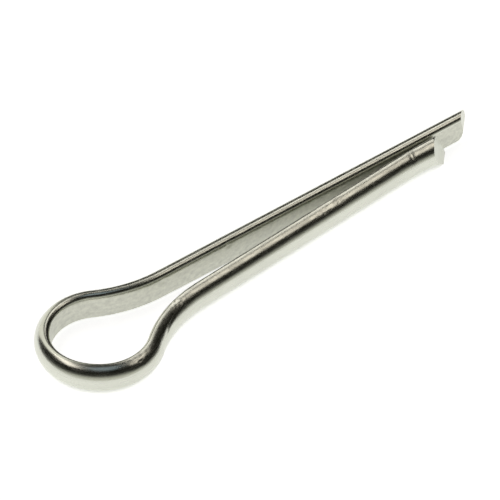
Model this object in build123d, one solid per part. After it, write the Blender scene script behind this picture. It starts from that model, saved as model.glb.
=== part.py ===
from build123d import *
import math
import os

# A cotter pin: one length of half-round steel wire, folded with its flat side inwards.
# The fold is a round eye. A neck bend on each side brings the wire back in, and two legs
# run on side by side, closing towards their cropped tips, one a little longer than the other.
# It lies on its side, as it comes to rest. X runs along the legs from the eye to the tips,
# Y across the eye from the short leg to the long one, and Z up.
# Lengths are in millimetres and angles in degrees.

# Wire
wire_radius = 1.8
edge_radius = 0.25

# Eye, measured on its flat inside. It was bent a little off the legs' centre line.
eye_radius = 5.45
eye_offset = 0.6

# Neck bends, measured on the flat
neck_radius = 17.0

# Legs: each reach runs from the eye's centre to the cut, at mid-height of the flat
long_reach = 52.5
short_reach = 49.0
leg_angle = 2.3
tip_gap = 0.28

# Cropped tips. The wire was sheared on a slant, so both cuts face the short leg's side,
# and they lean, so that the lower side is longer. The long tip's lower corner
# and the short tip's upper corner are rolled over.
long_slant_angle = 43.5
long_lean_angle = 12.0
long_corner_radius = 0.9
short_slant_angle = 48.0
short_lean_angle = 22.0
short_corner_radius = 1.5

# Cutting shapes run this far past the metal
overrun = 2.0

# The legs close on the X axis, and the eye's centre lies beside it
eye_centre = Vector(0, -eye_offset)


class Leg:
    """One leg's flat in plan, with the points where its neck bend meets the leg and the eye."""

    def __init__(self, side, reach):
        turn = math.radians(leg_angle)
        self.side = side
        self.along = Vector(math.cos(turn), -side * math.sin(turn))
        self.outward = Vector(math.sin(turn), side * math.cos(turn))
        at_short_tip = Vector(short_reach, side * tip_gap / 2)
        self.tip = at_short_tip + self.along * ((reach - short_reach) / math.cos(turn))

        # The neck bend's circle touches the leg's line and the eye's circle from outside both.
        centre_across = (at_short_tip - eye_centre).dot(self.outward) + neck_radius
        centre_distance = eye_radius + neck_radius
        centre_along = math.sqrt(centre_distance**2 - centre_across**2)
        to_neck_centre = self.outward * centre_across + self.along * centre_along
        self.neck_end = eye_centre + to_neck_centre - self.outward * neck_radius
        self.eye_touch = eye_centre + to_neck_centre * (eye_radius / centre_distance)


class Crop:
    """One shear: its slopes across the wire and up it, the corner it rolled, and the length left for it."""

    def __init__(self, slant_angle, lean_angle, rolled_corner, corner_radius):
        self.slant_slope = math.tan(math.radians(slant_angle))
        self.lean_slope = math.tan(math.radians(lean_angle))
        self.rolled_corner = rolled_corner
        self.corner_radius = corner_radius
        self.allowance = wire_radius * (self.slant_slope + self.lean_slope) + overrun


def wire_section():
    """Half-round section: the flat on the Y axis, the round side towards +X, both edges rolled over."""
    flat = Line((0, -wire_radius), (0, wire_radius))
    round_side = ThreePointArc((0, wire_radius), (wire_radius, 0), (0, -wire_radius))
    half_round = make_face([flat, round_side])
    return fillet(half_round.vertices(), edge_radius)


def half_wire(leg, crop):
    """Half of the folded wire, from the back of the eye to a leg's end, left long enough for the crop."""
    eye_back = eye_centre - Vector(eye_radius, 0)
    eye_side = eye_centre + Vector(0, leg.side * eye_radius)
    blank_end = leg.tip + leg.along * crop.allowance
    path = Wire(
        [
            ThreePointArc(eye_back, eye_side, leg.eye_touch),
            TangentArc(leg.neck_end, leg.eye_touch, tangent=-leg.along),
            Line(leg.neck_end, blank_end),
        ]
    )
    start = Plane(origin=blank_end, x_dir=leg.outward, z_dir=-leg.along)
    return sweep(start * wire_section(), path=path)


def crop_offcut(leg, crop):
    """What the shear takes off a leg's end: its side view, run through the wire on the slant."""
    lean_reach = wire_radius * crop.lean_slope
    kept = make_face(
        Polyline(
            (-crop.allowance, -wire_radius),
            (lean_reach, -wire_radius),
            (-lean_reach, wire_radius),
            (-crop.allowance, wire_radius),
            close=True,
        )
    )
    cut_corners = kept.vertices().sort_by(Axis.X)[-2:].sort_by(Axis.Y)
    kept = fillet(cut_corners[crop.rolled_corner], crop.corner_radius)
    blank = Rectangle(crop.allowance * 3, (wire_radius + overrun) * 2)
    offcut = Pos(crop.allowance / 2) * blank - kept

    through = leg.outward + leg.along * (leg.side * crop.slant_slope)
    side_view = Plane(
        origin=leg.tip - through * overrun,
        x_dir=leg.along,
        z_dir=leg.along.cross(Vector(0, 0, 1)),
    )
    return extrude(side_view * offcut, amount=through.length * (wire_radius + overrun * 2), dir=through)


def cotter_pin():
    """The finished pin, with the middle of its underside at the origin."""
    long_leg = Leg(1, long_reach)
    short_leg = Leg(-1, short_reach)
    long_crop = Crop(long_slant_angle, long_lean_angle, 0, long_corner_radius)
    short_crop = Crop(short_slant_angle, short_lean_angle, -1, short_corner_radius)
    long_half = half_wire(long_leg, long_crop) - crop_offcut(long_leg, long_crop)
    short_half = half_wire(short_leg, short_crop) - crop_offcut(short_leg, short_crop)
    pin = long_half + short_half
    box = pin.bounding_box()
    return Pos(-box.center().X, -box.center().Y, -box.min.Z) * pin


os.makedirs("parts", exist_ok=True)
pin = cotter_pin()
pin.label = "cotter_pin"
export_step(pin, "parts/cotter_pin.step")
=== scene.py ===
import math

import bmesh
import bpy
from bpy.props import FloatProperty, FloatVectorProperty, PointerProperty
from mathutils import Matrix, Vector, noise


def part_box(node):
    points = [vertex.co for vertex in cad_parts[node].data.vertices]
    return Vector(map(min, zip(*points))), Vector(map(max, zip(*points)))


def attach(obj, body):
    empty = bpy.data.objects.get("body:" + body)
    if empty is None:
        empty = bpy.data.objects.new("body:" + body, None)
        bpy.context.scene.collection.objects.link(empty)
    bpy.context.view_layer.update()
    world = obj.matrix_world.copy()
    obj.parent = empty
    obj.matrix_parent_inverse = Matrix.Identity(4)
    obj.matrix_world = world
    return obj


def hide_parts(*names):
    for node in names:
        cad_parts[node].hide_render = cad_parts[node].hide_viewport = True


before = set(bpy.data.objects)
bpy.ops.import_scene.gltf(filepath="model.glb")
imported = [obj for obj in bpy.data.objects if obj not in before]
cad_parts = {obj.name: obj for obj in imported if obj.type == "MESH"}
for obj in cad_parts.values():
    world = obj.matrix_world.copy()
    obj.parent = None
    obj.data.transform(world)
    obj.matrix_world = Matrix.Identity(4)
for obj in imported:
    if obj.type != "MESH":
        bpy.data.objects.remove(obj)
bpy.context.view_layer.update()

bl_info = {
    "name": "Cotter pin",
    "version": (1, 0, 0),
    "blender": (4, 5, 0),
    "location": "3D View > Sidebar > Cotter pin",
    "description": "Folds a half-round steel wire into a cotter pin and sets it on a white studio table",
    "category": "Add Mesh",
}

MM = 0.001
WIRE_NODE = "cotter_pin"
WIRE_PIECE = "cotter_pin_wire"
LONG_SIDE = 1
SHORT_SIDE = -1

# Attributes that the swept wire carries: place along it, place in its half-round section, and a map of both
ALONG = "along"
OUTWARD = "outward"
AROUND = "around"
WIRE_MAP = "wire_map"


# Nodes and colours


def linear(hex_colour):
    """A sRGB hex colour as linear red, green and blue."""
    channels = [int(hex_colour[i : i + 2], 16) / 255 for i in (1, 3, 5)]
    return [c / 12.92 if c <= 0.04045 else ((c + 0.055) / 1.055) ** 2.4 for c in channels]


def opaque(colour_value, brightness=1.0):
    """Red, green and blue at a share of their brightness, with full alpha."""
    return (*[channel * brightness for channel in colour_value], 1.0)


def add_node(tree, kind, inputs=None, **settings):
    """Add a node with its settings. Each input takes a value or another node's output."""
    node = tree.nodes.new(kind)
    for name, value in settings.items():
        setattr(node, name, value)
    for socket, value in (inputs or {}).items():
        if isinstance(value, bpy.types.NodeSocket):
            tree.links.new(value, node.inputs[socket])
        else:
            node.inputs[socket].default_value = value
    return node


def maths(tree, operation, first, second):
    """What a Math node makes of two numbers."""
    return add_node(tree, "ShaderNodeMath", {0: first, 1: second}, operation=operation).outputs[0]


def ranged(tree, value, given, wanted):
    """A number taken from one range to another and held in it."""
    node = add_node(
        tree,
        "ShaderNodeMapRange",
        {
            "Value": value,
            "From Min": given[0],
            "From Max": given[1],
            "To Min": wanted[0],
            "To Max": wanted[1],
        },
    )
    return node.outputs[0]


# Sockets of a Mix node that mixes colours
MIX_FIRST = 6
MIX_SECOND = 7
MIX_RESULT = 2


def mixed(tree, factor, first, second):
    """The colour between two others."""
    node = add_node(
        tree,
        "ShaderNodeMix",
        {"Factor": factor, MIX_FIRST: first, MIX_SECOND: second},
        data_type="RGBA",
    )
    return node.outputs[MIX_RESULT]


# Values that the panel shows


def length(name, description, millimetres):
    """A length, given in millimetres."""
    return FloatProperty(
        name=name,
        description=description,
        default=millimetres * MM,
        precision=5,
        subtype="DISTANCE",
        unit="LENGTH",
    )


def angle(name, description, degrees):
    """An angle, given in degrees."""
    return FloatProperty(
        name=name,
        description=description,
        default=math.radians(degrees),
        subtype="ANGLE",
        unit="ROTATION",
    )


def colour(name, description, hex_colour):
    """A colour, given as sRGB hex."""
    return FloatVectorProperty(
        name=name,
        description=description,
        default=linear(hex_colour),
        min=0.0,
        max=1.0,
        subtype="COLOR",
    )


class CotterPinSizes(bpy.types.PropertyGroup):
    """Sizes of the wire, its fold and its sheared tips"""

    wire_radius: length("Wire radius", "Radius of the wire's round side", 1.8)
    lower_edge: length("Lower edge", "Radius of the flat's rolled lower edge", 0.25)
    long_edge: length("Long leg's edge", "Radius of the flat's rolled upper edge on the long leg", 0.7)
    short_edge: length("Short leg's edge", "Radius of the flat's rolled upper edge on the short leg", 0.25)
    edge_change: length("Edge change", "Length round the eye over which the upper edge changes", 10.0)
    ripple_height: length("Ripple height", "Most that the wire's unevenness can stand out", 0.006)
    ripple_length: length("Ripple length", "Length of the wire's unevenness", 4.0)
    eye_radius: length("Eye radius", "Radius of the eye's flat inside", 5.45)
    eye_offset: length("Eye offset", "How far the eye was bent off the legs' centre line", 0.6)
    neck_radius: length("Neck radius", "Radius of the neck bends on the flat", 17.0)
    long_reach: length("Long reach", "From the eye's centre to the long leg's cut", 52.5)
    short_reach: length("Short reach", "From the eye's centre to the short leg's cut", 49.0)
    leg_angle: angle("Leg angle", "How far each leg turns in towards its tip", 2.3)
    tip_gap: length("Tip gap", "Gap between the flats at the short tip", 0.28)
    long_slant: angle("Long tip slant", "Slant of the long tip's cut across the wire", 43.5)
    long_lean: angle("Long tip lean", "Lean of the long tip's cut, lower side longer", 12.0)
    long_roll: length("Long tip roll", "Radius of the long tip's rolled lower corner", 1.3)
    short_slant: angle("Short tip slant", "Slant of the short tip's cut across the wire", 52.0)
    short_lean: angle("Short tip lean", "Lean of the short tip's cut, lower side longer", 22.0)
    short_roll: length("Short tip roll", "Radius of the short tip's rolled upper corner", 0.7)
    short_bend: length("Short tip bend", "How far the shear pushed the short tip out sideways", 0.25)
    bend_length: length("Bend length", "How far back from the cut the short tip bends", 6.5)
    burr: length("Burr", "How far the short tip's burr stands out of the wire", 0.3)
    burr_length: length("Burr length", "How far back from the cut the burr starts", 1.8)
    ring_spacing: length("Ring spacing", "Distance between the rings of the swept mesh", 0.22)


class CotterPinFinish(bpy.types.PropertyGroup):
    """Colours of the steel"""

    round_colour: colour("Round side", "Bright drawn steel", "#D5D7CC")
    flat_colour: colour("Flat side", "Satin rolled steel", "#CDCEC2")
    cut_colour: colour("Sheared ends", "Fresh sheared steel", "#D6D8CC")


class CotterPinStage(bpy.types.PropertyGroup):
    """The photograph's angle and its table"""

    azimuth: angle("Azimuth", "Camera's turn round the pin", -39.9)
    elevation: angle("Elevation", "Camera's height above the horizon", 43.24)
    look_along: length("Look along", "Picture's middle, along the legs from the eye's centre", 21.84)
    look_across: length("Look across", "Picture's middle, across the legs from the eye's centre", 0.56)
    picture_width: length("Picture width", "Width that the picture takes in", 54.93)
    lens: FloatProperty(
        name="Lens",
        description="Focal length, long enough for a flat view",
        default=1500.0,
        subtype="DISTANCE_CAMERA",
        unit="CAMERA",
    )
    floor_colour: colour("Floor", "White table", "#FFFFFF")


# The wire's path in plan

# Bezier spans in a neck bend and in the eye, and steps in each span
NECK_SPANS = 2
EYE_SPANS = 5
SPAN_STEPS = 32

# A straight stretch has its handles this far along
STRAIGHT_HANDLE_SHARE = 1 / 3

# Points nearer than this are one
SAME_PLACE = 0.001 * MM


def eye_place(sizes):
    """The eye's centre in plan, and the height of the wire's middle, from the CAD pin's box."""
    lowest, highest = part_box(WIRE_NODE)
    eye_reach = sizes.eye_radius + sizes.wire_radius
    return Vector((lowest.x + eye_reach, (lowest.y + highest.y) / 2)), (lowest.z + highest.z) / 2


class Leg:
    """One leg's flat in plan, with the points where its neck bend meets the leg and the eye."""

    def __init__(self, sizes, eye_centre, side, reach):
        self.side = side
        self.along = Vector((math.cos(sizes.leg_angle), -side * math.sin(sizes.leg_angle)))
        self.outward = Vector((math.sin(sizes.leg_angle), side * math.cos(sizes.leg_angle)))
        to_short_tip = Vector((sizes.short_reach, sizes.eye_offset + side * sizes.tip_gap / 2))
        past_short_tip = (reach - sizes.short_reach) / math.cos(sizes.leg_angle)
        self.tip = eye_centre + to_short_tip + self.along * past_short_tip

        # The neck bend's circle touches the leg's line and the eye's circle from outside both
        centre_across = to_short_tip.dot(self.outward) + sizes.neck_radius
        centre_distance = sizes.eye_radius + sizes.neck_radius
        centre_along = math.sqrt(centre_distance**2 - centre_across**2)
        to_neck_centre = self.outward * centre_across + self.along * centre_along
        self.neck_centre = eye_centre + to_neck_centre
        self.neck_end = self.neck_centre - self.outward * sizes.neck_radius
        self.eye_touch = eye_centre + to_neck_centre * (sizes.eye_radius / centre_distance)


def arc_points(centre, start, turn, count):
    """Bezier points along an arc from start, each as its place between its two handles."""
    points = []
    step = turn / count

    # With handles this long, for a radius of 1, a span follows its arc most closely
    reach = 4 / 3 * math.tan(step / 4)
    for i in range(count + 1):
        spoke = (start - centre).copy()
        spoke.rotate(Matrix.Rotation(step * i, 2))
        handle = Vector((-spoke.y, spoke.x)) * reach
        place = centre + spoke
        points.append((place - handle, place, place + handle))
    return points


def turn_between(centre, start, end, sense):
    """Angle from start to end round a centre, in the given sense."""
    first = math.atan2(*(start - centre).yx)
    last = math.atan2(*(end - centre).yx)
    return sense * ((sense * (last - first)) % math.tau)


def wire_path(eye_centre, long_leg, short_leg, middle_height):
    """The flat's line from the long tip, round the eye, to the short tip, as a Bezier curve."""
    first_neck = turn_between(long_leg.neck_centre, long_leg.neck_end, long_leg.eye_touch, -1)
    eye = turn_between(eye_centre, long_leg.eye_touch, short_leg.eye_touch, 1)
    second_neck = turn_between(short_leg.neck_centre, short_leg.eye_touch, short_leg.neck_end, -1)
    arcs = (
        arc_points(long_leg.neck_centre, long_leg.neck_end, first_neck, NECK_SPANS),
        arc_points(eye_centre, long_leg.eye_touch, eye, EYE_SPANS),
        arc_points(short_leg.neck_centre, short_leg.eye_touch, second_neck, NECK_SPANS),
    )
    first_handle = long_leg.tip.lerp(long_leg.neck_end, STRAIGHT_HANDLE_SHARE)
    last_handle = short_leg.tip.lerp(short_leg.neck_end, STRAIGHT_HANDLE_SHARE)
    knots = [[long_leg.tip, long_leg.tip, first_handle]]
    for arc in arcs:
        if (arc[0][1] - knots[-1][1]).length < SAME_PLACE:
            knots[-1][2] = arc[0][2]
            arc = arc[1:]
        knots.extend([list(point) for point in arc])
    knots.append([last_handle, short_leg.tip, short_leg.tip])
    knots[1][0] = long_leg.neck_end.lerp(long_leg.tip, STRAIGHT_HANDLE_SHARE)
    knots[-2][2] = short_leg.neck_end.lerp(short_leg.tip, STRAIGHT_HANDLE_SHARE)

    curve = bpy.data.curves.new("wire_path", "CURVE")
    curve.dimensions = "3D"
    curve.resolution_u = SPAN_STEPS
    spline = curve.splines.new("BEZIER")
    spline.bezier_points.add(len(knots) - 1)
    lift = Vector((0, 0, middle_height))
    for point, (before, place, after) in zip(spline.bezier_points, knots):
        point.handle_left_type = "FREE"
        point.handle_right_type = "FREE"
        point.co = place.to_3d() + lift
        point.handle_left = before.to_3d() + lift
        point.handle_right = after.to_3d() + lift
    return curve


# The wire's half-round section

# Rows of points between the section's lowest point and its highest, on the round side and on the flat
SECTION_ROWS = 55

# Points in a whole ring, and the place in it of the round side's middle
RING_SIZE = SECTION_ROWS * 2 + 2
ROUND_MIDDLE = SECTION_ROWS // 2 + 1

# What lies less than this share of the lower edge's radius outward belongs to the flat
FLAT_SHARE = 0.1


def rolled_edge(wire_radius, edge_radius):
    """Height of a rolled edge's centre, and the turn at which the round side runs into it."""
    height = math.sqrt((wire_radius - edge_radius) ** 2 - edge_radius**2)
    return height, math.atan2(height, edge_radius)


def section_rows(sizes, upper_edge):
    """Rows of the section from bottom to top: height, the flat's place outward and the round side's."""
    rows = []
    for i in range(SECTION_ROWS):
        turn = math.pi * ((i + 1) / (SECTION_ROWS + 1) - 0.5)
        up = math.copysign(1.0, turn)
        edge = upper_edge if up > 0 else sizes.lower_edge
        centre_height, meeting_turn = rolled_edge(sizes.wire_radius, edge)
        if abs(turn) < meeting_turn:
            height = sizes.wire_radius * math.sin(turn)
            round_place = sizes.wire_radius * math.cos(turn)
        else:
            height = up * centre_height + edge * math.sin(turn)
            round_place = edge + edge * math.cos(turn)
        in_edge = max(abs(height) - centre_height, 0.0)
        rows.append((height, edge - math.sqrt(edge**2 - in_edge**2), round_place))
    return rows


def section_points(sizes, upper_edge):
    """Places outward and up round the section, from its lowest point up the round side and down the flat."""
    rows = section_rows(sizes, upper_edge)
    lowest = -rolled_edge(sizes.wire_radius, sizes.lower_edge)[0] - sizes.lower_edge
    highest = rolled_edge(sizes.wire_radius, upper_edge)[0] + upper_edge
    points = [(sizes.lower_edge, lowest)]
    points += [(round_place, height) for height, _, round_place in rows]
    points += [(upper_edge, highest)]
    points += [(flat_place, height) for height, flat_place, _ in reversed(rows)]
    return points


def wire_section(sizes):
    """The long leg's section as a closed curve. The sweep turns it over, so it is drawn upside down."""
    points = section_points(sizes, sizes.long_edge)
    curve = bpy.data.curves.new("wire_section", "CURVE")
    curve.dimensions = "3D"
    spline = curve.splines.new("POLY")
    spline.points.add(len(points) - 1)
    spline.use_cyclic_u = True
    for point, (outward, height) in zip(spline.points, points):
        point.co = (outward, -height, 0.0, 1.0)
    return curve


# The sweep

RIPPLE_DETAIL = 2.0


def sweep_tree():
    """Geometry nodes that carry the section along the path and give it its finishes."""
    tree = bpy.data.node_groups.new("half_round_wire", "GeometryNodeTree")
    for name, kind in (
        ("Path", "NodeSocketGeometry"),
        ("Section", "NodeSocketObject"),
        ("Ring Spacing", "NodeSocketFloat"),
        ("Flat Limit", "NodeSocketFloat"),
        ("Ripple Height", "NodeSocketFloat"),
        ("Ripple Length", "NodeSocketFloat"),
        ("Round Finish", "NodeSocketMaterial"),
        ("Flat Finish", "NodeSocketMaterial"),
    ):
        tree.interface.new_socket(name, in_out="INPUT", socket_type=kind)
    tree.interface.new_socket("Wire", in_out="OUTPUT", socket_type="NodeSocketGeometry")
    given = add_node(tree, "NodeGroupInput").outputs

    # The path in even steps, with its normals level so that the flat stays inside
    path = add_node(
        tree,
        "GeometryNodeResampleCurve",
        {"Curve": given["Path"], "Length": given["Ring Spacing"]},
        mode="LENGTH",
    )
    path = add_node(tree, "GeometryNodeSetCurveNormal", {"Curve": path.outputs[0]}, mode="Z_UP")
    place_along = add_node(tree, "GeometryNodeSplineParameter").outputs["Length"]
    path = add_node(
        tree,
        "GeometryNodeStoreNamedAttribute",
        {"Geometry": path.outputs[0], "Name": ALONG, "Value": place_along},
    )

    # The section, with each point's place in it
    section = add_node(tree, "GeometryNodeObjectInfo", {"Object": given["Section"]})
    place = add_node(tree, "GeometryNodeInputPosition").outputs[0]
    place = add_node(tree, "ShaderNodeSeparateXYZ", {"Vector": place}).outputs
    place_around = add_node(tree, "GeometryNodeSplineParameter").outputs["Length"]
    profile = section.outputs["Geometry"]
    for name, value in ((OUTWARD, place["X"]), (AROUND, place_around)):
        profile = add_node(
            tree, "GeometryNodeStoreNamedAttribute", {"Geometry": profile, "Name": name, "Value": value}
        ).outputs[0]

    swept = add_node(
        tree,
        "GeometryNodeCurveToMesh",
        {"Curve": path.outputs[0], "Profile Curve": profile, "Fill Caps": False},
    )
    along = add_node(tree, "GeometryNodeInputNamedAttribute", {"Name": ALONG}).outputs[0]
    around = add_node(tree, "GeometryNodeInputNamedAttribute", {"Name": AROUND}).outputs[0]
    outward = add_node(tree, "GeometryNodeInputNamedAttribute", {"Name": OUTWARD}).outputs[0]
    map_place = add_node(tree, "ShaderNodeCombineXYZ", {"X": along, "Y": around}).outputs[0]

    # Drawing left the wire a little uneven along its length. The sweep's faces look inwards until their
    # normals are recalculated, so the wave goes against them to stand outwards.
    wave_place = add_node(
        tree, "ShaderNodeVectorMath", {0: map_place, 1: given["Ripple Length"]}, operation="DIVIDE"
    )
    wave = add_node(
        tree,
        "ShaderNodeTexNoise",
        {"Vector": wave_place.outputs[0], "Scale": 1.0, "Detail": RIPPLE_DETAIL},
    )
    height = maths(tree, "MULTIPLY", wave.outputs[0], given["Ripple Height"])
    against_faces = maths(tree, "MULTIPLY", height, -1.0)
    normal = add_node(tree, "GeometryNodeInputNormal").outputs[0]
    offset = add_node(tree, "ShaderNodeVectorMath", {0: normal, "Scale": against_faces}, operation="SCALE")
    uneven = add_node(
        tree, "GeometryNodeSetPosition", {"Geometry": swept.outputs[0], "Offset": offset.outputs[0]}
    )

    # A map in metres along and around the wire, for what the drawing die left on it
    mapped = add_node(
        tree,
        "GeometryNodeStoreNamedAttribute",
        {"Geometry": uneven.outputs[0], "Name": WIRE_MAP, "Value": map_place},
        data_type="FLOAT2",
        domain="CORNER",
    )
    smooth = add_node(tree, "GeometryNodeSetShadeSmooth", {"Geometry": mapped.outputs[0]})
    whole = add_node(tree, "GeometryNodeRealizeInstances", {"Geometry": smooth.outputs[0]})
    on_flat = add_node(
        tree,
        "FunctionNodeCompare",
        {0: outward, 1: given["Flat Limit"]},
        data_type="FLOAT",
        operation="LESS_THAN",
    )
    finish = add_node(
        tree, "GeometryNodeSetMaterial", {"Geometry": whole.outputs[0], "Material": given["Round Finish"]}
    )
    finish = add_node(
        tree,
        "GeometryNodeSetMaterial",
        {
            "Geometry": finish.outputs[0],
            "Selection": on_flat.outputs[0],
            "Material": given["Flat Finish"],
        },
    )
    add_node(tree, "NodeGroupOutput", {"Wire": finish.outputs[0]})
    return tree


def swept_wire(sizes, path, section, finishes):
    """The wire with open ends, as a plain mesh."""
    section_object = bpy.data.objects.new("wire_section", section)
    wire = bpy.data.objects.new("wire_path", path)
    for made in (section_object, wire):
        bpy.context.scene.collection.objects.link(made)
    tree = sweep_tree()
    modifier = wire.modifiers.new("Half-round wire", "NODES")
    modifier.node_group = tree
    values = {
        "Section": section_object,
        "Ring Spacing": sizes.ring_spacing,
        "Flat Limit": sizes.lower_edge * FLAT_SHARE,
        "Ripple Height": sizes.ripple_height,
        "Ripple Length": sizes.ripple_length,
        "Round Finish": finishes["round"],
        "Flat Finish": finishes["flat"],
    }
    for item in tree.interface.items_tree:
        if item.name in values:
            modifier[item.identifier] = values[item.name]
    wire.update_tag()
    graph = bpy.context.evaluated_depsgraph_get()
    evaluated = wire.evaluated_get(graph)
    mesh = bpy.data.meshes.new_from_object(evaluated, preserve_all_data_layers=True, depsgraph=graph)
    for made in (wire, section_object):
        bpy.data.objects.remove(made)
    return mesh


def rings_of(bm):
    """The swept mesh's rings of points, from the long tip to the short one."""
    vertices = list(bm.verts)
    return [vertices[i : i + RING_SIZE] for i in range(0, len(vertices), RING_SIZE)]


# The upper edge of the flat


def eased(value):
    """A value held between 0 and 1, with a soft start and end."""
    held = min(max(value, 0.0), 1.0)
    return held * held * (3 - 2 * held)


def sharpen_short_side(bm, sizes, wire_length, flat_index):
    """Bring the upper edge to the short leg's radius, from the back of the eye to the short tip."""
    along = bm.verts.layers.float[ALONG]
    outward = bm.verts.layers.float[OUTWARD]
    rolled = section_points(sizes, sizes.long_edge)
    sharp = section_points(sizes, sizes.short_edge)
    eye_back = (wire_length + sizes.long_reach - sizes.short_reach) / 2
    bm.normal_update()
    for ring in rings_of(bm):
        sideways = ring[ROUND_MIDDLE].normal.xy.to_3d().normalized()
        done = eased((ring[0][along] - eye_back) / sizes.edge_change + 0.5)
        for vertex, start, end in zip(ring, rolled, sharp):
            move_out = (end[0] - start[0]) * done
            vertex.co += sideways * move_out
            vertex.co.z += (end[1] - start[1]) * done
            vertex[outward] += move_out
    flat_limit = sizes.lower_edge * FLAT_SHARE
    for face in bm.faces:
        if all(vertex[outward] < flat_limit for vertex in face.verts):
            face.material_index = flat_index


# The sheared tips

# Which corner of a cut the shear rolled over
LOWER_CORNER = -1
UPPER_CORNER = 1

# The tips are shaped over this length, and the rings crowd towards the cut by this power
CROP_ZONE = 8.0 * MM
RING_CROWDING = 1.5

# The burr stands low on the outside, at this turn up from the wire's side, and fades over this turn
# either way. It reaches past the cut by this share of its height.
BURR_TURN = math.radians(-39.0)
BURR_SPREAD = math.radians(24.0)
BURR_REACH_SHARE = 0.9


class Tip:
    """One sheared end: its leg, which end of the wire it is, and the shape that the shear gave it."""

    def __init__(self, leg, slant, lean, rolled_corner, roll_radius, bend=0.0, burr=0.0):
        self.leg = leg
        self.at_start = leg.side == LONG_SIDE
        self.slant = slant
        self.lean = lean
        self.rolled_corner = rolled_corner
        self.roll_radius = roll_radius
        self.bend = bend
        self.burr = burr

    def cut_place(self, wire_radius, outward, height):
        """How far past the leg's end the cut lies, at a place in the section. One corner is rolled over."""
        slant = self.leg.side * math.tan(self.slant) * outward
        lean = self.rolled_corner * math.tan(self.lean)
        up = self.rolled_corner * height
        corner_angle = math.pi / 2 + self.rolled_corner * self.lean
        tangent = self.roll_radius / math.tan(corner_angle / 2)
        roll_start = wire_radius - tangent * math.cos(self.lean)
        in_roll = max(up, roll_start)
        arc_height = in_roll - wire_radius + self.roll_radius
        arc_reach = math.sqrt(max(self.roll_radius**2 - arc_height**2, 0.0))
        rolled_off = -lean * in_roll - (-lean * wire_radius - tangent + arc_reach)
        return slant - lean * up - rolled_off


def fading(distance, reach):
    """What is left, from 1 at the cut down to 0 at the reach, of what the shear did."""
    return max(0.0, 1 - distance / reach) ** 2


def shape_tips(bm, sizes, tips, wire_length, middle_height):
    """Slide the end rings to the sheared cuts, bend the short tip out and raise its burr."""
    along = bm.verts.layers.float[ALONG]
    outward = bm.verts.layers.float[OUTWARD]
    for vertex in bm.verts:
        for tip in tips:
            distance = vertex[along] if tip.at_start else wire_length - vertex[along]
            if distance >= CROP_ZONE:
                continue
            crowded = CROP_ZONE * (distance / CROP_ZONE) ** RING_CROWDING
            out = vertex[outward]
            height = vertex.co.z - middle_height
            turn = math.atan2(height, out)
            off_burr = (turn - BURR_TURN) / BURR_SPREAD
            burr = tip.burr * math.exp(-(off_burr**2)) * fading(crowded, sizes.burr_length)
            bend = tip.bend * fading(crowded, sizes.bend_length)
            cut = tip.cut_place(sizes.wire_radius, out, height) * (1 - crowded / CROP_ZONE)
            slide = distance - crowded + cut + burr * BURR_REACH_SHARE
            vertex.co += tip.leg.along.to_3d() * slide
            vertex.co += tip.leg.outward.to_3d() * (bend + burr * math.cos(turn))
            vertex.co.z += burr * math.sin(turn)


def close_tip(bm, ring, cut_index):
    """Close a tip with a ladder of faces from the flat to the round side, with a sharp rim."""
    lowest = ring[0]
    round_side = ring[1 : SECTION_ROWS + 1]
    highest = ring[SECTION_ROWS + 1]
    flat_side = list(reversed(ring[SECTION_ROWS + 2 :]))
    ladder = [(lowest, round_side[0], flat_side[0]), (highest, flat_side[-1], round_side[-1])]
    for i in range(SECTION_ROWS - 1):
        ladder.append((flat_side[i], round_side[i], round_side[i + 1], flat_side[i + 1]))
    for corners in ladder:
        face = bm.faces.new(corners)
        face.material_index = cut_index
        face.smooth = True
        for edge in face.edges:
            if any(other.material_index != cut_index for other in edge.link_faces):
                edge.smooth = False


# Marks of the bending and of the bulk bin, in millimetres and degrees. Each has its place from the eye's
# centre and above the table, its length along the wire, its width round it, its turn, its depth,
# and the share of it that is grain.
MARKS = {
    "tip_nick": (44.05, -0.60, 3.37, 0.28, 0.40, 20.0, 0.05, 0.1),
    "leg_scuff_long": (31.2, -0.95, 3.42, 0.9, 0.32, 5.0, 0.035, 0.7),
    "leg_scuff_short": (33.2, -1.00, 3.38, 0.6, 0.32, -8.0, 0.035, 0.7),
    "neck_scuff": (9.3, -1.95, 3.52, 1.0, 0.5, 0.0, 0.03, 0.9),
    "neck_crease_low": (6.0, -4.36, 2.88, 0.9, 0.2, 12.0, 0.03, 0.3),
    "neck_crease_high": (7.4, -3.45, 3.02, 0.8, 0.18, 8.0, 0.025, 0.3),
    "eye_scuff": (0.5, -6.45, 3.25, 1.1, 0.45, 0.0, 0.03, 0.9),
    "flat_dent": (20.0, 1.9, 2.67, 0.3, 0.3, 0.0, 0.07, 0.2),
    "flat_dent_low": (10.6, 2.28, 2.35, 0.35, 0.25, 20.0, 0.06, 0.2),
}

# Size of a mark's grains, and how its depth rises and falls with them
GRAIN_SIZE = 0.28 * MM
GRAIN_GAIN = 2
GRAIN_LIFT = 0.3

# A mark ends where less than this share of its depth is left
LEAST_SHARE = 0.02


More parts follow.
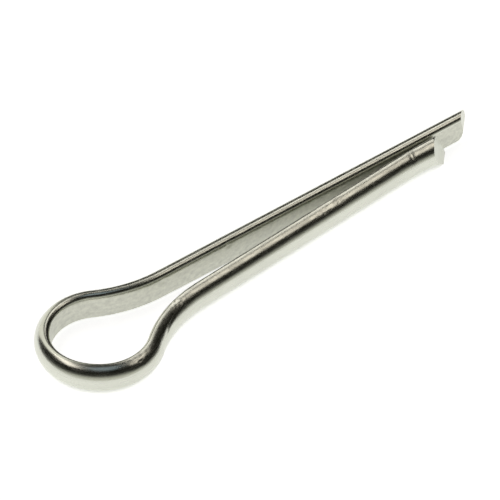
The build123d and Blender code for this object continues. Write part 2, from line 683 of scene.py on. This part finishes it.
def press_marks(bm, eye_centre):
    """Press the nicks and scuffs into the wire, each in the surface's own two directions."""
    along = bm.verts.layers.float[ALONG]
    around = bm.verts.layers.float[AROUND]
    bm.normal_update()
    for x, y, z, run, width, turn, depth, grain in MARKS.values():
        place = Vector((eye_centre.x + x * MM, eye_centre.y + y * MM, z * MM))
        middle = min(bm.verts, key=lambda vertex: (vertex.co - place).length_squared)
        cosine = math.cos(math.radians(turn))
        sine = math.sin(math.radians(turn))
        for vertex in bm.verts:
            ahead = vertex[along] - middle[along]
            aside = vertex[around] - middle[around]
            lengthwise = (ahead * cosine + aside * sine) / (run * MM)
            crosswise = (aside * cosine - ahead * sine) / (width * MM)
            pressed = math.exp(-(lengthwise**2) - crosswise**2)
            if pressed > LEAST_SHARE:
                grains = GRAIN_GAIN * max(0.0, noise.noise(vertex.co / GRAIN_SIZE) + GRAIN_LIFT)
                roughened = 1 - grain + grain * grains
                vertex.co -= vertex.normal * (pressed * depth * MM * roughened)


def hold_in_box(bm):
    """Hold the wire in the CAD pin's box. Its burr, ripple and rounder eye pass it by 0.016 mm at most."""
    lowest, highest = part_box(WIRE_NODE)
    for vertex in bm.verts:
        vertex.co = [min(max(c, low), high) for c, low, high in zip(vertex.co, lowest, highest)]


class COTTER_OT_wire(bpy.types.Operator):
    """Sweep the half-round wire along its fold, shear its tips and put it in the CAD pin's place"""

    bl_idname = "cotter.wire"
    bl_label = "Folded wire"

    def execute(self, context):
        finish = context.scene.cotter_pin_finish
        finishes = {
            "round": round_side_steel(finish),
            "flat": flat_side_steel(finish),
            "cut": sheared_steel(finish),
        }
        mesh = self.folded_wire(context.scene.cotter_pin_sizes, finishes)
        wire = bpy.data.objects.new(WIRE_PIECE, mesh)
        context.scene.collection.objects.link(wire)
        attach(wire, "root")
        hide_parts(WIRE_NODE)
        return {"FINISHED"}

    def folded_wire(self, sizes, finishes):
        """The swept wire with its worked edge, its marks and its closed tips."""
        eye_centre, middle_height = eye_place(sizes)
        long_leg = Leg(sizes, eye_centre, LONG_SIDE, sizes.long_reach)
        short_leg = Leg(sizes, eye_centre, SHORT_SIDE, sizes.short_reach)
        path = wire_path(eye_centre, long_leg, short_leg, middle_height)
        mesh = swept_wire(sizes, path, wire_section(sizes), finishes)
        mesh.name = WIRE_PIECE
        mesh.materials.append(finishes["cut"])
        slots = list(mesh.materials)
        long_tip = Tip(long_leg, sizes.long_slant, sizes.long_lean, LOWER_CORNER, sizes.long_roll)
        short_tip = Tip(
            short_leg,
            sizes.short_slant,
            sizes.short_lean,
            UPPER_CORNER,
            sizes.short_roll,
            bend=sizes.short_bend,
            burr=sizes.burr,
        )

        bm = bmesh.new()
        bm.from_mesh(mesh)
        along = bm.verts.layers.float[ALONG]
        wire_length = max(vertex[along] for vertex in bm.verts)
        bmesh.ops.recalc_face_normals(bm, faces=bm.faces[:])
        sharpen_short_side(bm, sizes, wire_length, slots.index(finishes["flat"]))
        press_marks(bm, eye_centre)
        shape_tips(bm, sizes, (long_tip, short_tip), wire_length, middle_height)
        rings = rings_of(bm)
        for ring in (rings[0], rings[-1]):
            close_tip(bm, ring, slots.index(finishes["cut"]))
        bmesh.ops.recalc_face_normals(bm, faces=bm.faces[:])
        hold_in_box(bm)
        bm.to_mesh(mesh)
        bm.free()
        for name in (ALONG, OUTWARD, AROUND):
            mesh.attributes.remove(mesh.attributes[name])
        return mesh


# Finishes


def new_material(name):
    """An empty material and its node tree."""
    material = bpy.data.materials.new(name)
    material.use_nodes = True
    material.node_tree.nodes.clear()
    return material, material.node_tree


def patches(tree, place, patch, detail, **more):
    """Noise from 0 to 1, in patches of the given millimetres along each axis of the place."""
    scale = [1 / (size * MM) for size in patch]
    place = add_node(tree, "ShaderNodeMapping", {"Vector": place, "Scale": scale}).outputs[0]
    inputs = {"Vector": place, "Scale": 1.0, "Detail": detail, **more}
    return add_node(tree, "ShaderNodeTexNoise", inputs).outputs[0]


def tones(tree, factor, colour_value, darkest, brightest):
    """A colour that varies between two shares of its brightness."""
    return mixed(tree, factor, opaque(colour_value, darkest), opaque(colour_value, brightest))


def finish_steel(tree, base, roughness, height, depth):
    """The metal itself, with its relief."""
    bump = add_node(tree, "ShaderNodeBump", {"Height": height, "Strength": 1.0, "Distance": depth})
    shader = add_node(
        tree,
        "ShaderNodeBsdfPrincipled",
        {"Base Color": base, "Metallic": 1.0, "Roughness": roughness, "Normal": bump.outputs[0]},
    )
    add_node(tree, "ShaderNodeOutputMaterial", {"Surface": shader.outputs[0]})


# Patch sizes are in millimetres, along and around the wire on its two sides and in space on the cuts.
# The last size on the two sides has no effect, because their map is flat.

# Real die lines are about 0.02 mm apart, and are drawn coarser to show
DIE_LINES = (5.0, 0.16, 1.0)
PLATING_GRAIN = (1.6, 0.22, 1.0)
PLATING_CLOUDS = (6.0, 1.5, 1.0)
ROLLED_MOTTLE = (0.8, 0.6, 1.0)
SHEAR_LINES = (0.25, 0.25, 2.0)

# The range that most of a noise lies in, a narrower one for blotches, and all of it
NOISE_RANGE = (0.3, 0.7)
BLOTCH_RANGE = (0.32, 0.68)
FULL_RANGE = (0.0, 1.0)

# Roughness from the smoothest patches to the roughest
ROUND_ROUGHNESS = (0.2, 0.3)
FLAT_ROUGHNESS = (0.34, 0.5)
CUT_ROUGHNESS = (0.3, 0.42)

# Shares of each colour's brightness, from the darkest patches to the brightest
ROUND_TONES = (0.9, 1.06)
FLAT_TONES = (0.8, 1.16)
CUT_TONES = (0.9, 1.08)

# Depth of each relief
ROUND_RELIEF = 0.0014 * MM
FLAT_RELIEF = 0.03 * MM
CUT_RELIEF = 0.02 * MM

# How far each noise breaks up into finer ones, and how rough the mottle's finer ones are
LINE_DETAIL = 2.0
PLATING_DETAIL = 3.0
MOTTLE_DETAIL = 4.0
MOTTLE_BREAK = 0.65


def round_side_steel(finish):
    """Bright zinc-plated drawn steel: soft clear reflections, with grainy edges drawn out along the wire."""
    material, tree = new_material("zinc_plated_drawn_steel")
    wire_map = add_node(tree, "ShaderNodeUVMap", uv_map=WIRE_MAP).outputs[0]
    lines = patches(tree, wire_map, DIE_LINES, LINE_DETAIL)
    grain = patches(tree, wire_map, PLATING_GRAIN, PLATING_DETAIL)
    clouds = patches(tree, wire_map, PLATING_CLOUDS, PLATING_DETAIL)
    base = tones(tree, clouds, finish.round_colour, *ROUND_TONES)
    roughness = ranged(tree, grain, NOISE_RANGE, ROUND_ROUGHNESS)
    finish_steel(tree, base, roughness, maths(tree, "ADD", lines, grain), ROUND_RELIEF)
    return material


def flat_side_steel(finish):
    """Satin zinc-plated rolled steel: the flat scatters light, mottled where the plating is uneven."""
    material, tree = new_material("zinc_plated_rolled_steel")
    wire_map = add_node(tree, "ShaderNodeUVMap", uv_map=WIRE_MAP).outputs[0]
    mottle = patches(tree, wire_map, ROLLED_MOTTLE, MOTTLE_DETAIL, Roughness=MOTTLE_BREAK)
    blotches = ranged(tree, mottle, BLOTCH_RANGE, FULL_RANGE)
    base = tones(tree, blotches, finish.flat_colour, *FLAT_TONES)
    roughness = ranged(tree, mottle, NOISE_RANGE, FLAT_ROUGHNESS)
    finish_steel(tree, base, roughness, mottle, FLAT_RELIEF)
    return material


def sheared_steel(finish):
    """Fresh sheared steel: dull and bright by turns in fine lines down the cut."""
    material, tree = new_material("sheared_steel")
    place = add_node(tree, "ShaderNodeTexCoord").outputs["Object"]
    lines = patches(tree, place, SHEAR_LINES, LINE_DETAIL)
    base = tones(tree, lines, finish.cut_colour, *CUT_TONES)
    roughness = ranged(tree, lines, FULL_RANGE, CUT_ROUGHNESS)
    finish_steel(tree, base, roughness, lines, CUT_RELIEF)
    return material


# Lights, in metres

LAMP_DISTANCE = 0.6

# Each soft light: degrees round from +X, degrees down from overhead, how far it is slid sideways,
# its width and depth, its brightness and its colour. The bands of light along the wire are their reflections.
LAMPS = {
    "right_front_strip": (0.0, 30.0, -0.145, 0.25, 0.147, 1.4, "#FFF6EC"),
    "right_back_strip": (0.0, 30.0, 0.165, 0.23, 0.147, 1.5, "#FFFAF4"),
    "right_window": (31.0, 47.0, 0.0, 0.19, 0.15, 1.1, "#FFFBF4"),
    "left_back_light": (131.0, 29.0, 0.0, 0.34, 0.17, 1.7, "#FFF6F0"),
    "back_panel": (85.5, 59.0, 0.0, 0.40, 0.70, 1.0, "#FFFDF4"),
    "overhead_panel": (240.0, 8.0, 0.0, 0.25, 0.25, 0.4, "#DCEFFF"),
}


def direction(azimuth, zenith):
    """Unit vector at degrees round from +X and degrees down from straight up."""
    around = math.radians(azimuth)
    down = math.radians(zenith)
    return Vector((math.sin(down) * math.cos(around), math.sin(down) * math.sin(around), math.cos(down)))


def soft_light(name, azimuth, zenith, slide, width, depth, brightness, hex_colour):
    """A lamp that faces the pin. The camera sees only its reflection."""
    lamp = bpy.data.lights.new(name, "AREA")
    lamp.shape = "RECTANGLE"
    lamp.size = width
    lamp.size_y = depth
    lamp.color = linear(hex_colour)
    lamp.energy = brightness * math.pi * width * depth
    made = bpy.data.objects.new(name, lamp)
    towards = direction(azimuth, zenith)
    facing = towards.to_track_quat("Z", "Y")
    made.location = towards * LAMP_DISTANCE + facing @ Vector((slide, 0.0, 0.0))
    made.rotation_euler = facing.to_euler()
    made.visible_camera = False
    bpy.context.scene.collection.objects.link(made)


# Heights on the unit sphere between which the pale rim of the room fades into the dark.
# The rim stands higher on the left and in front than on the right and behind.
ROOM_TILT = (0.2, 0.3, 1.0)
RIM_FOOT = -0.15
RIM_TOP = 0.3
RIM_COLOUR = "#D8D8CE"
ROOM_COLOUR = "#14140E"
WHITE = "#FFFFFF"


def studio_world():
    """A dark room above a pale rim at table height. The camera sees it white."""
    world = bpy.data.worlds.new("studio")
    world.use_nodes = True
    tree = world.node_tree
    tree.nodes.clear()
    look = add_node(tree, "ShaderNodeTexCoord").outputs["Generated"]
    rise = add_node(tree, "ShaderNodeVectorMath", {0: look, 1: ROOM_TILT}, operation="DOT_PRODUCT")
    above_rim = add_node(
        tree,
        "ShaderNodeMapRange",
        {"Value": rise.outputs["Value"], "From Min": RIM_FOOT, "From Max": RIM_TOP},
        interpolation_type="SMOOTHSTEP",
    )
    room = mixed(tree, above_rim.outputs[0], opaque(linear(RIM_COLOUR)), opaque(linear(ROOM_COLOUR)))
    seen = add_node(tree, "ShaderNodeLightPath").outputs["Is Camera Ray"]
    shown = mixed(tree, seen, room, opaque(linear(WHITE)))
    background = add_node(tree, "ShaderNodeBackground", {"Color": shown, "Strength": 1.0})
    add_node(tree, "ShaderNodeOutputWorld", {"Surface": background.outputs[0]})
    return world


# Table and camera

TABLE_HALF_WIDTH = 1.5

# The table's own white, added to the light that falls on it. Its glow carries painted shade in the narrow gap
# between the legs, where metal within this reach leaves less than this share of the sky open. At its darkest,
# this share of the white is left.
TABLE_GLOW = 0.8
GAP_REACH = 4.5 * MM
GAP_OPEN_SHARE = 0.35
GAP_GLOW_SHARE = 0.1

# In millimetres, as the lens is
SENSOR_WIDTH = 36.0

# The view starts this many metres from the camera, and ends at this many times the pin's distance
CLIP_START = 0.01
CLIP_END_SHARE = 3


def white_where_seen(tree, shaded, colour_value):
    """Plain white to the camera and in the metal's reflections, over what the surface shows by itself, with
    painted shade in the narrow gap between the legs.
    """
    path = add_node(tree, "ShaderNodeLightPath").outputs
    seen = path["Is Camera Ray"]
    for kind in ("Is Glossy Ray", "Is Transmission Ray"):
        seen = maths(tree, "MAXIMUM", seen, path[kind])
    # Painted shade: the glow dims where nearby metal closes off the sky, as in the gap between the legs
    openness = add_node(tree, "ShaderNodeAmbientOcclusion", {"Distance": GAP_REACH}).outputs["AO"]
    shade = ranged(tree, openness, (0.0, GAP_OPEN_SHARE), (GAP_GLOW_SHARE, 1.0))
    strength = maths(tree, "MULTIPLY", maths(tree, "MULTIPLY", seen, shade), TABLE_GLOW)
    glow = add_node(tree, "ShaderNodeEmission", {"Color": opaque(colour_value), "Strength": strength})
    return add_node(tree, "ShaderNodeAddShader", {0: shaded, 1: glow.outputs[0]}).outputs[0]


class COTTER_OT_stage(bpy.types.Operator):
    """Set the white table, the soft lights and the camera at the photograph's angle"""

    bl_idname = "cotter.stage"
    bl_label = "White table and camera"

    def execute(self, context):
        scene = context.scene
        scene.view_settings.view_transform = "Standard"
        self.place_table(scene)
        for name, values in LAMPS.items():
            soft_light(name, *values)
        scene.world = studio_world()
        self.place_camera(scene)
        return {"FINISHED"}

    def place_table(self, scene):
        """A plain white table under the pin."""
        floor_colour = scene.cotter_pin_stage.floor_colour
        bm = bmesh.new()
        bmesh.ops.create_grid(bm, x_segments=1, y_segments=1, size=TABLE_HALF_WIDTH)
        mesh = bpy.data.meshes.new("table")
        bm.to_mesh(mesh)
        bm.free()
        table = bpy.data.objects.new("table", mesh)
        scene.collection.objects.link(table)
        material, tree = new_material("white_table")
        diffuse = add_node(tree, "ShaderNodeBsdfDiffuse", {"Color": opaque(floor_colour)})
        white = white_where_seen(tree, diffuse.outputs[0], floor_colour)
        add_node(tree, "ShaderNodeOutputMaterial", {"Surface": white})
        mesh.materials.append(material)

    def place_camera(self, scene):
        """A camera at the photograph's angle. At azimuth 0 it would stand at the short leg's side."""
        stage = scene.cotter_pin_stage
        camera = bpy.data.cameras.new("photo_camera")
        camera.lens = stage.lens
        camera.sensor_width = SENSOR_WIDTH
        eye_centre, middle_height = eye_place(scene.cotter_pin_sizes)
        target = eye_centre.to_3d() + Vector((stage.look_along, stage.look_across, middle_height))
        back = direction(math.degrees(stage.azimuth) - 90.0, 90.0 - math.degrees(stage.elevation))
        distance = stage.picture_width * camera.lens / camera.sensor_width
        made = bpy.data.objects.new("photo_camera", camera)
        made.location = target + back * distance
        made.rotation_euler = back.to_track_quat("Z", "Y").to_euler()
        camera.clip_start = CLIP_START
        camera.clip_end = distance * CLIP_END_SHARE
        scene.collection.objects.link(made)
        scene.camera = made


# The add-on

GROUPS = {
    "cotter_pin_sizes": CotterPinSizes,
    "cotter_pin_finish": CotterPinFinish,
    "cotter_pin_stage": CotterPinStage,
}


class COTTER_PT_panel(bpy.types.Panel):
    """The pin's values, and a button for each step"""

    bl_label = "Cotter pin"
    bl_idname = "COTTER_PT_panel"
    bl_space_type = "VIEW_3D"
    bl_region_type = "UI"
    bl_category = "Cotter pin"

    def draw(self, context):
        for name in GROUPS:
            group = getattr(context.scene, name)
            box = self.layout.box()
            for value in group.bl_rna.properties:
                if not value.is_readonly and value.identifier != "name":
                    box.prop(group, value.identifier)
        self.layout.operator(COTTER_OT_wire.bl_idname)
        self.layout.operator(COTTER_OT_stage.bl_idname)


CLASSES = (*GROUPS.values(), COTTER_OT_wire, COTTER_OT_stage, COTTER_PT_panel)


def register():
    for made in CLASSES:
        bpy.utils.register_class(made)
    for name, kind in GROUPS.items():
        setattr(bpy.types.Scene, name, PointerProperty(type=kind))


def unregister():
    for name in GROUPS:
        delattr(bpy.types.Scene, name)
    for made in reversed(CLASSES):
        bpy.utils.unregister_class(made)


def main():
    register()
    bpy.ops.cotter.wire()
    bpy.ops.cotter.stage()


if __name__ == "__main__":
    main()
